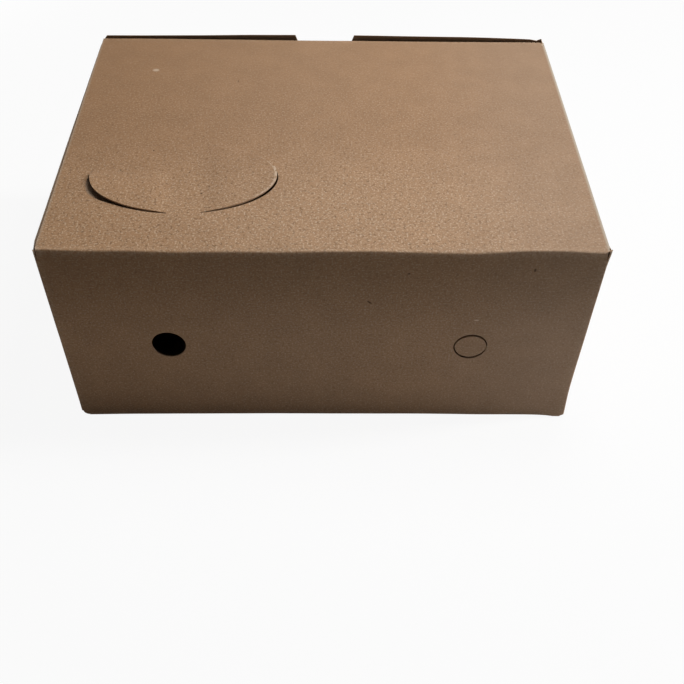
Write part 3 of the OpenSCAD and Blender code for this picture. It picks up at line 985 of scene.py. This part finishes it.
def bulge_foot(moved, points, m):
    """The front wall's foot bulges at both ends and splays at the right."""
    x, y, z = points.T
    low = smooth(y, m.front_y + FOOT_DEEP, m.front_y + m.fold) * np.exp(-(z / FOOT_UP) ** 2)
    foot = FOOT_LEFT * np.exp(-((x + m.half) / FOOT_LEFT_REACH) ** 2)
    foot += FOOT_RIGHT * smooth(x, *FOOT_RIGHT_SPAN)
    foot += FOOT_CORNER * sum(smooth(x, *span) for span in FOOT_CORNER_SPANS)
    moved[:, 0] += FOOT_SPLAY * low * smooth(x, *FOOT_SPLAY_SPAN)
    moved[:, 1] -= foot * low


def bulge_sides(moved, points, m):
    """The side walls bulge towards their tops."""
    x, y, z = points.T
    along = smooth(y, m.front_y + SIDE_BEGINS, m.front_y + SIDE_FULL)
    along *= smooth(y, m.back_y, m.back_y - SIDE_ENDS)
    high = along * np.clip(z / m.height, 0.0, 1.0) ** 3
    left = SIDE_LEFT + (SIDE_LEFT_BACK - SIDE_LEFT) * smooth(y, SIDE_BACK_FROM, m.back_y)
    moved[:, 0] -= left * high * smooth(x, -m.half + SIDE_DEEP, -m.half + m.fold)
    moved[:, 0] += SIDE_RIGHT * high * smooth(x, m.half - SIDE_DEEP, m.half - m.fold)


def flare_ear(moved, points, m):
    """The top end of the right front corner stands out and up."""
    x, y, z = points.T
    ear = np.exp(-((y - m.front_y - EAR_PLACE) / EAR_REACH) ** 2) * smooth(z, EAR_FROM, m.height)
    ear *= smooth(x, m.half - EAR_INNER, m.half - EAR_OUTER)
    moved[:, 0] += EAR_FLARE * ear
    moved[:, 2] += EAR_UP * ear


def settle_carton(points, m):
    """How far the folded walls stand off their plain places."""
    moved = np.zeros_like(points)
    moved[:, 0] = widened(points[:, 0])
    bulge_foot(moved, points, m)
    bulge_sides(moved, points, m)
    flare_ear(moved, points, m)
    moved[:, 1] -= LIP_LEAN * back_top(points, m, *LEAN_SPAN)
    return moved


def settle_lid(points, m):
    """How far the closed lid rises towards its back edge."""
    x, y = points[:, 0], points[:, 1]
    back = smooth(y, m.front_y + LID_RISE_FROM, m.lid_back)
    left = smooth(x, LID_RISE_SHARE * m.half, -m.half)
    moved = np.zeros_like(points)
    moved[:, 0] = widened(x)
    moved[:, 2] = back * (LID_RISE_RIGHT + (LID_RISE_LEFT - LID_RISE_RIGHT) * left)
    return moved


def settle_crease(points, m):
    """How far the crease wanders up and down along its length."""
    x, y, z = points.T
    near = np.exp(-((y - m.front_y) / CREASE_BACK) ** 2) * smooth(z, m.height - CREASE_DOWN, m.height)
    places, heights = np.array(CREASE_LINE).T
    moved = np.zeros_like(points)
    moved[:, 0] = widened(x)
    moved[:, 2] = near * np.interp(x / MM, places, heights) * MM
    return moved


def thinned(points, m):
    """Share of the board's thickness: the die has pressed the back wall's top edge thin."""
    return 1 - (1 - BACK_LIP) * back_top(points, m, *THIN_SPAN)


def open_edges(faces):
    """Edges that belong to one face only: the cut edges of the sheet."""
    shared = {}
    for face in faces:
        for a, b in zip(face, face[1:] + face[:1]):
            shared.setdefault((min(a, b), max(a, b)), []).append((a, b))
    return [uses[0] for uses in shared.values() if len(uses) == 1]


def flat_places(flats, faces, rims, thickness):
    """Place in the blank of every corner: of the outer faces, the cut edges and the inner faces."""
    lay = [flats[corner] for face in faces for corner in face]
    for a, b in rims:
        along = flats[b] - flats[a]
        out = np.array((along[1], -along[0])) * thickness / max(np.linalg.norm(along), 1e-9)
        lay += [flats[b], flats[a], flats[a] + out, flats[b] + out]
    lay += [flats[corner] for face in faces for corner in reversed(face)]
    return np.array(lay, np.float32)


def solid_board(name, board, m, materials, settle):
    """A mesh object of the sheet with its thickness: faces, cut edges and inside."""
    points, normals, flats, wear_and_highlight, faces = board.welded()
    thickness = m.board * thinned(points, m)
    waves = np.array([unevenness(flat) for flat in flats])
    inner = points + normals * (waves - m.board)[:, None] + settle(points, m)
    outer = inner + normals * thickness[:, None]
    count = len(outer)
    rims = open_edges(faces)
    polygons = [list(face) for face in faces]
    polygons += [[b, a, a + count, b + count] for a, b in rims]
    polygons += [[corner + count for corner in reversed(face)] for face in faces]
    kinds = [0] * len(faces) + [1] * len(rims) + [2] * len(faces)
    mesh = bpy.data.meshes.new(name)
    mesh.from_pydata(np.vstack([outer, inner]).tolist(), [], polygons)
    places = flat_places(flats, faces, rims, m.board)
    mesh.uv_layers.new(name=BLANK_MAP).data.foreach_set("uv", places.ravel())
    mesh.polygons.foreach_set("material_index", kinds)
    mesh.polygons.foreach_set("use_smooth", [True] * len(polygons))
    marks = mesh.attributes.new(WEAR_AND_HIGHLIGHT_MARK, "FLOAT", "POINT")
    marks.data.foreach_set("value", np.concatenate([wear_and_highlight, wear_and_highlight]).astype(np.float32))
    for material in materials:
        mesh.materials.append(material)
    mesh.update()
    mesh.set_sharp_from_angle(angle=SHARP_FROM)
    piece = bpy.data.objects.new(name, mesh)
    bpy.context.collection.objects.link(piece)
    return piece


class Nodes:
    """Adds nodes to a tree and joins them."""

    def __init__(self, tree):
        self.tree = tree

    def add(self, kind, settings=None, **inputs):
        """A new node with its settings, and its inputs set or linked by name."""
        node = self.tree.nodes.new(kind)
        for key, value in (settings or {}).items():
            setattr(node, key, value)
        for key, value in inputs.items():
            label = int(key[1:]) if key[0] == "_" else key.replace("_", " ")
            self.feed(node.inputs[label], value)
        return node

    def feed(self, socket, value):
        """Links an output to a socket, or sets the socket's own value."""
        if isinstance(value, bpy.types.NodeSocket):
            self.tree.links.new(value, socket)
        else:
            socket.default_value = value

    def math(self, operation, first, second=0.5, clamp=False):
        """The result of one sum."""
        settings = {"operation": operation, "use_clamp": clamp}
        return self.add("ShaderNodeMath", settings, _0=first, _1=second).outputs[0]

    def times(self, first, second, clamp=False):
        """The product of two values."""
        return self.math("MULTIPLY", first, second, clamp)

    def group(self, tree, **inputs):
        """A shared effect, with its inputs set or linked by name."""
        return self.add("ShaderNodeGroup", {"node_tree": tree}, **inputs)

    def blend(self, share, first, second, mode="MIX"):
        """Two colours mixed by a share."""
        node = self.add("ShaderNodeMix", {"data_type": "RGBA", "blend_type": mode})
        self.feed(node.inputs["Factor"], share)
        self.feed(node.inputs[6], first)
        self.feed(node.inputs[7], second)
        return node.outputs[2]

    def ramp(self, value, low, high, to_low=0.0, to_high=1.0):
        """A value taken smoothly from one range to another."""
        node = self.add("ShaderNodeMapRange", {"interpolation_type": "SMOOTHSTEP"},
                        Value=value, From_Min=low, From_Max=high, To_Min=to_low, To_Max=to_high)
        return node.outputs[0]

    def noise(self, vector, scale, detail=2.0, rough=0.5):
        """Noise from 0 to 1."""
        node = self.add("ShaderNodeTexNoise", {"noise_dimensions": "2D"},
                        Vector=vector, Scale=scale, Detail=detail, Roughness=rough)
        return node.outputs[0]


def new_group(name, inputs, outputs):
    """A shader node group with named sockets, each of a kind, and its inner nodes."""
    group = bpy.data.node_groups.new(name, "ShaderNodeTree")
    for way, sockets in (("INPUT", inputs), ("OUTPUT", outputs)):
        for label, kind in sockets.items():
            group.interface.new_socket(name=label, in_out=way, socket_type="NodeSocket" + kind)
    nodes = Nodes(group)
    return group, nodes, nodes.add("NodeGroupInput").outputs, nodes.add("NodeGroupOutput").inputs


def speckle_group():
    """Grains and mottling of uncoated kraft paper."""
    group, nodes, given, result = new_group(
        "kraft_speckle",
        {"Vector": "Vector", "Kraft": "Color", "Dark": "Color", "Pale": "Color",
         "Dark Share": "Float", "Pale Share": "Float"},
        {"Color": "Color", "Height": "Float"})
    grain = nodes.noise(given["Vector"], GRAIN_SCALE, 2.0, 0.6)
    fine = nodes.noise(given["Vector"], FINE_SCALE, 1.0, 0.5)
    mottle = nodes.noise(given["Vector"], MOTTLE_SCALE, 4.0, 0.55)
    dark = nodes.times(nodes.ramp(grain, 0.5, 0.24), given["Dark Share"], True)
    pale = nodes.times(nodes.ramp(fine, 0.52, 0.76), given["Pale Share"], True)
    shade = nodes.ramp(mottle, 0.25, 0.75, 0.96, 1.04)
    colour = nodes.blend(dark, given["Kraft"], given["Dark"])
    colour = nodes.blend(pale, colour, given["Pale"])
    tint = nodes.add("ShaderNodeCombineColor", Red=shade, Green=shade, Blue=shade).outputs[0]
    nodes.feed(result["Color"], nodes.blend(1.0, colour, tint, "MULTIPLY"))
    nodes.feed(result["Height"], nodes.math("ADD", grain, nodes.times(fine, 0.6)))
    return group


def rub_and_light_group():
    """Where marks show: rubbed by the crease, open grain, painted cooler light at the right and warmer shade
    at the left, painted shade on the front wall below the crease, a painted highlight along the lid's right
    edge and a pale band along its left.
    """
    masks = ("Rub", "Grain", "Grey", "Warm", "Soil", "Edge")
    group, nodes, given, result = new_group("kraft_rub", {"Vector": "Vector"}, dict.fromkeys(masks, "Float"))
    place = nodes.add("ShaderNodeSeparateXYZ", Vector=given["Vector"]).outputs
    across = lambda low, high, *to: nodes.ramp(place["X"], low * MM, high * MM, *to)
    up = lambda low, high, *to: nodes.ramp(place["Y"], low * MM, high * MM, *to)
    on_lid = up(*ON_LID)
    patchy = nodes.ramp(nodes.noise(given["Vector"], PATCH_SCALE, 2.0, 0.5), 0.3, 0.7, 0.8, 1.0)
    rub_and_highlight = nodes.times(nodes.times(on_lid, up(*RUBBED_UP)), across(*RUBBED_ACROSS, RUBBED_LEAST_SHARE, 1.0))
    nodes.feed(result["Rub"], nodes.times(rub_and_highlight, patchy))
    grain_back = up(*GRAIN_UP, GRAIN_BACK_SHARE, 1.0)
    nodes.feed(result["Grain"], nodes.times(grain_back, across(*GRAIN_ACROSS, GRAIN_RIGHT_SHARE, 1.0)))
    # Painted cooler light and sheen towards the right edge
    nodes.feed(result["Grey"], across(*COOL_LIGHT_ACROSS))
    # Painted warmer shade towards the left edge
    nodes.feed(result["Warm"], across(*WARM_SHADE_ACROSS))
    # Painted shade on the front wall, darker towards the lid's crease
    nodes.feed(result["Soil"], nodes.times(up(*WALL_SHADE_UP), up(*BELOW_CREASE)))
    # Painted highlight along the lid's right edge, and a fainter pale band along its left
    right_edge = across(*HIGHLIGHT_RIGHT, 0.0, HIGHLIGHT_RIGHT_SHARE)
    edge = nodes.math("MAXIMUM", right_edge, across(*PALE_BAND_LEFT, 0.0, PALE_BAND_LEFT_SHARE))
    nodes.feed(result["Edge"], nodes.times(edge, on_lid))
    return group


def fleck_group():
    """The few larger flecks in the sheet, as dark and pale shares."""
    group, nodes, given, result = new_group(
        "kraft_flecks", {"Vector": "Vector"}, {"Dark": "Float", "Pale": "Float"})
    for label, flecks in (("Dark", DARK_FLECKS), ("Pale", PALE_FLECKS)):
        total = None
        for x, y, length, width, turn in flecks:
            mapping = nodes.add("ShaderNodeMapping", {"vector_type": "TEXTURE"}, Vector=given["Vector"],
                                Location=(x * MM, y * MM, 0.0), Rotation=(0.0, 0.0, turn),
                                Scale=(length / 2 * MM, width / 2 * MM, 1.0))
            away = nodes.add("ShaderNodeVectorMath", {"operation": "LENGTH"}, Vector=mapping.outputs[0])
            spot = nodes.ramp(away.outputs["Value"], 1.4, 0.6)
            total = spot if total is None else nodes.math("MAXIMUM", total, spot)
        nodes.feed(result[label], total)
    return group


def fibre_group():
    """Short fibres that lie in two directions in the paper."""
    group, nodes, given, result = new_group("kraft_fibres", {"Vector": "Vector"}, {"Fibres": "Float"})
    total = None
    for turn in FIBRE_TURNS:
        mapping = nodes.add(
            "ShaderNodeMapping", Vector=given["Vector"], Rotation=(0.0, 0.0, turn), Scale=FIBRE_SCALES)
        strand = nodes.ramp(nodes.noise(mapping.outputs[0], 1.0, 1.0, 0.5), 0.66, 0.8)
        total = strand if total is None else nodes.math("MAXIMUM", total, strand)
    nodes.feed(result["Fibres"], total)
    return group


def opaque(colour):
    """A colour with its alpha."""
    return (*colour, 1.0)


def base_material(name):
    """A new node material: its nodes, its shader and the blank's flat coordinates."""
    material = bpy.data.materials.new(name)
    material.use_nodes = True
    tree = material.node_tree
    nodes = Nodes(tree)
    flat = nodes.add("ShaderNodeUVMap", {"uv_map": BLANK_MAP}).outputs[0]
    return material, nodes, tree.nodes["Principled BSDF"], flat


def kraft_material(name, paper, colours, groups):
    """Uncoated kraft paper: specks, fibres, scuffed folds, tints of painted light and shade, painted
    highlights and a faint tooth.
    """
    material, nodes, shader, flat = base_material(name)
    pale = opaque(paper.pale)
    rub_and_highlight, grain, cool_light, warm_shade, wall_shade, edge = nodes.group(groups["rub_and_highlight"], Vector=flat).outputs
    rub_and_highlight = nodes.times(rub_and_highlight, paper.worn)
    by_rub = lambda low, high: nodes.ramp(rub_and_highlight, 0.0, 1.0, low, high)
    plain = nodes.blend(nodes.times(rub_and_highlight, RUB_SHARE), opaque(paper.face), opaque(colours.rubbed))
    specks = nodes.group(
        groups["speckle"], Vector=flat, Kraft=plain, Dark=opaque(paper.dark), Pale=pale,
        Dark_Share=nodes.times(grain, by_rub(*DARK_SHARES)),
        Pale_Share=nodes.times(grain, by_rub(*PALE_SHARES))).outputs
    strands = nodes.group(groups["fibres"], Vector=flat).outputs[0]
    flecks = nodes.group(groups["flecks"], Vector=flat).outputs
    # The scuff mark also holds the painted highlight on the oval tab's rim
    wear_and_highlight = nodes.add("ShaderNodeAttribute", {"attribute_name": WEAR_AND_HIGHLIGHT_MARK}).outputs["Fac"]
    patchy = nodes.ramp(nodes.noise(flat, SCUFF_SCALE, 3.0, 0.6), 0.3, 0.75)
    scuff_and_highlight = nodes.times(wear_and_highlight, nodes.times(patchy, SCUFF_AND_HIGHLIGHT_SHARE), True)
    face = specks["Color"]
    # Tints of painted light and shade: cooler light at the right, warmer shade at the left, shade on the
    # front wall below the crease
    for share, tint in ((cool_light, colours.painted_cool_light), (warm_shade, colours.painted_warm_shade), (wall_shade, colours.painted_wall_shade)):
        face = nodes.blend(share, face, opaque(tint), "MULTIPLY")
    face = nodes.blend(nodes.times(strands, by_rub(*FIBRE_SHARES)), face, pale)
    face = nodes.blend(scuff_and_highlight, face, pale)
    # Painted highlight along the lid's right edge, and a fainter pale band along its left
    face = nodes.blend(edge, face, opaque(colours.painted_edge_highlight))
    face = nodes.blend(nodes.times(flecks["Dark"], FLECK_SHARE), face, opaque(colours.bark))
    face = nodes.blend(nodes.times(flecks["Pale"], FLECK_SHARE), face, pale)
    nodes.feed(shader.inputs["Base Color"], face)
    shader.inputs["Specular IOR Level"].default_value = paper.gloss
    nodes.feed(shader.inputs["Roughness"], nodes.ramp(specks["Height"], 0.4, 1.2, *ROUGHNESS))
    bump = nodes.add("ShaderNodeBump", Strength=TOOTH, Distance=TOOTH_HEIGHT, Height=specks["Height"])
    nodes.feed(shader.inputs["Normal"], bump.outputs[0])
    return material


def cut_material(name, colours, fibres):
    """Cut edge of the board: pale torn fibres."""
    material, nodes, shader, flat = base_material(name)
    strands = nodes.group(fibres, Vector=flat).outputs[0]
    layers = nodes.ramp(nodes.noise(flat, LAYER_SCALE, 2.0, 0.6), 0.3, 0.7)
    colour = nodes.blend(layers, opaque(colours.kraft), opaque(colours.cut_edge))
    colour = nodes.blend(nodes.times(strands, TORN_SHARE), colour, opaque(colours.pale_speck))
    nodes.feed(shader.inputs["Base Color"], colour)
    shader.inputs["Roughness"].default_value = TORN_ROUGHNESS
    return material


def board_materials(colours):
    """Outer face, cut edge and inner face, made once and shared by every piece."""
    names = ("kraft_face", "kraft_cut_edge", "kraft_inside")
    if names[0] not in bpy.data.materials:
        groups = {"speckle": speckle_group(), "fibres": fibre_group(),
                  "rub_and_highlight": rub_and_light_group(), "flecks": fleck_group()}
        outer = SimpleNamespace(face=colours.kraft, dark=colours.dark_speck, pale=colours.pale_speck,
                                worn=1.0, gloss=OUTER_GLOSS)
        colour = Vector(colours.inside)
        inner = SimpleNamespace(
            face=colour, dark=colour * INNER_DARK, pale=colour * INNER_PALE, worn=0.0, gloss=0.0)
        kraft_material(names[0], outer, colours, groups)
        cut_material(names[1], colours, groups["fibres"])
        kraft_material(names[2], inner, colours, groups)
    return [bpy.data.materials[name] for name in names]


def build(context, name, m, add_panels, settle):
    """A piece of board from its panels, in the colours of the sidebar."""
    board = Board()
    add_panels(board, m)
    return solid_board(name, board, m, board_materials(context.scene.box_colours), settle)


class SNACKBOX_OT_carton(Operator):
    """Builds the walls, dust flaps, glue flap and bottom"""

    bl_idname = "snackbox.carton"
    bl_label = "Carton"

    def execute(self, context):
        m = measures(context.scene.box_sizes)
        piece = build(context, "carton_board", m, add_walls, settle_carton)
        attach(piece, BODY_CARTON)
        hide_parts("carton")
        return {"FINISHED"}


class SNACKBOX_OT_lid(Operator):
    """Builds the lid panel with its oval tab and tuck flap"""

    bl_idname = "snackbox.lid"
    bl_label = "Lid"

    def execute(self, context):
        m = measures(context.scene.box_sizes)
        piece = build(context, "lid_board", m, add_lid, settle_lid)
        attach(piece, BODY_LID)
        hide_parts("lid")
        return {"FINISHED"}


class SNACKBOX_OT_crease(Operator):
    """Builds the crease that the lid turns on"""

    bl_idname = "snackbox.crease"
    bl_label = "Lid crease"

    def execute(self, context):
        m = measures(context.scene.box_sizes)
        piece = build(context, "lid_crease", m, add_crease, settle_crease)
        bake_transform(piece)
        return {"FINISHED"}


def add_lamp(name, power, size, place, aim):
    """A soft white lamp at a place, turned towards a point."""
    lamp = bpy.data.lights.new(name, "AREA")
    lamp.shape = "RECTANGLE"
    lamp.size, lamp.size_y = size
    lamp.energy = power
    holder = bpy.data.objects.new(name, lamp)
    holder.location = place
    holder.rotation_euler = (Vector(aim) - Vector(place)).to_track_quat("-Z", "Y").to_euler()
    bpy.context.collection.objects.link(holder)


def bare_nodes(owner):
    """The emptied node tree of a material or a world."""
    owner.use_nodes = True
    owner.node_tree.nodes.clear()
    return Nodes(owner.node_tree)


def seen_share(nodes):
    """One for rays that show the background: from the camera, by gloss or through glass."""
    rays = nodes.add("ShaderNodeLightPath").outputs
    share = nodes.math("MAXIMUM", rays["Is Camera Ray"], rays["Is Glossy Ray"])
    return nodes.math("MAXIMUM", share, rays["Is Transmission Ray"])


def add_floor(stage):
    """A white floor that shows a soft shadow."""
    mesh = bpy.data.meshes.new("floor")
    corners = [(x * FLOOR_REACH, y * FLOOR_REACH, 0.0) for x, y in ((-1, -1), (1, -1), (1, 1), (-1, 1))]
    mesh.from_pydata(corners, [], [(0, 1, 2, 3)])
    floor = bpy.data.objects.new("floor", mesh)
    bpy.context.collection.objects.link(floor)
    material = bpy.data.materials.new("floor_white")
    nodes = bare_nodes(material)
    lit = nodes.add("ShaderNodeBsdfDiffuse", Color=opaque(stage.floor)).outputs[0]
    glow = nodes.add("ShaderNodeEmission", Color=WHITE, Strength=1.0).outputs[0]
    shown = nodes.add("ShaderNodeMixShader", _0=FLOOR_GLOW, _1=lit, _2=glow).outputs[0]
    surface = nodes.add("ShaderNodeMixShader", _0=seen_share(nodes), _1=lit, _2=shown).outputs[0]
    nodes.add("ShaderNodeOutputMaterial", Surface=surface)
    mesh.materials.append(material)


def add_world(stage):
    """Dim light from all round, white where the camera sees it."""
    world = bpy.data.worlds.new("studio")
    nodes = bare_nodes(world)
    strength = nodes.ramp(seen_share(nodes), 0.0, 1.0, stage.ambient, BACKGROUND_GLOW)
    glow = nodes.add("ShaderNodeBackground", Color=WHITE, Strength=strength).outputs[0]
    nodes.add("ShaderNodeOutputWorld", Surface=glow)
    bpy.context.scene.world = world


def add_camera():
    """The camera at the photograph's place."""
    camera = bpy.data.cameras.new("camera")
    camera.sensor_width = CAMERA_SENSOR
    camera.lens = CAMERA_LENS
    holder = bpy.data.objects.new("camera", camera)
    holder.location = CAMERA_PLACE
    holder.rotation_euler = CAMERA_TURN
    bpy.context.collection.objects.link(holder)
    bpy.context.scene.camera = holder


class SNACKBOX_OT_stage(Operator):
    """Sets up the floor, the lamps, the background and the camera"""

    bl_idname = "snackbox.stage"
    bl_label = "Stage"

    def execute(self, context):
        stage = context.scene.box_stage
        add_floor(stage)
        add_world(stage)
        for name, setting, size, place, aim in LAMPS:
            add_lamp(name, getattr(stage, setting), size, place, aim)
        add_camera()
        context.scene.view_settings.view_transform = "Standard"
        return {"FINISHED"}


PIECES = (SNACKBOX_OT_carton, SNACKBOX_OT_lid, SNACKBOX_OT_crease, SNACKBOX_OT_stage)


class SNACKBOX_PT_panel(Panel):
    """Lists the pieces of the snack box"""

    bl_idname = "SNACKBOX_PT_panel"
    bl_label = "Snack box"
    bl_space_type = "VIEW_3D"
    bl_region_type = "UI"
    bl_category = "Snack box"

    def draw(self, context):
        for piece in PIECES:
            self.layout.operator(piece.bl_idname)
        for group in (context.scene.box_sizes, context.scene.box_colours, context.scene.box_stage):
            for name in group.__annotations__:
                self.layout.prop(group, name)


CLASSES = (BoxSizes, BoxColours, StageSettings, *PIECES, SNACKBOX_PT_panel)


def register():
    """Adds the classes and the scene's settings."""
    for cls in CLASSES:
        bpy.utils.register_class(cls)
    bpy.types.Scene.box_sizes = PointerProperty(type=BoxSizes)
    bpy.types.Scene.box_colours = PointerProperty(type=BoxColours)
    bpy.types.Scene.box_stage = PointerProperty(type=StageSettings)


def unregister():
    """Takes the settings and the classes away again."""
    del bpy.types.Scene.box_stage
    del bpy.types.Scene.box_colours
    del bpy.types.Scene.box_sizes
    for cls in reversed(CLASSES):
        bpy.utils.unregister_class(cls)


def main():
    """Builds every piece and the stage."""
    register()
    bpy.ops.snackbox.carton()
    bpy.ops.snackbox.lid()
    bpy.ops.snackbox.crease()
    bpy.ops.snackbox.stage()


if __name__ == "__main__":
    main()
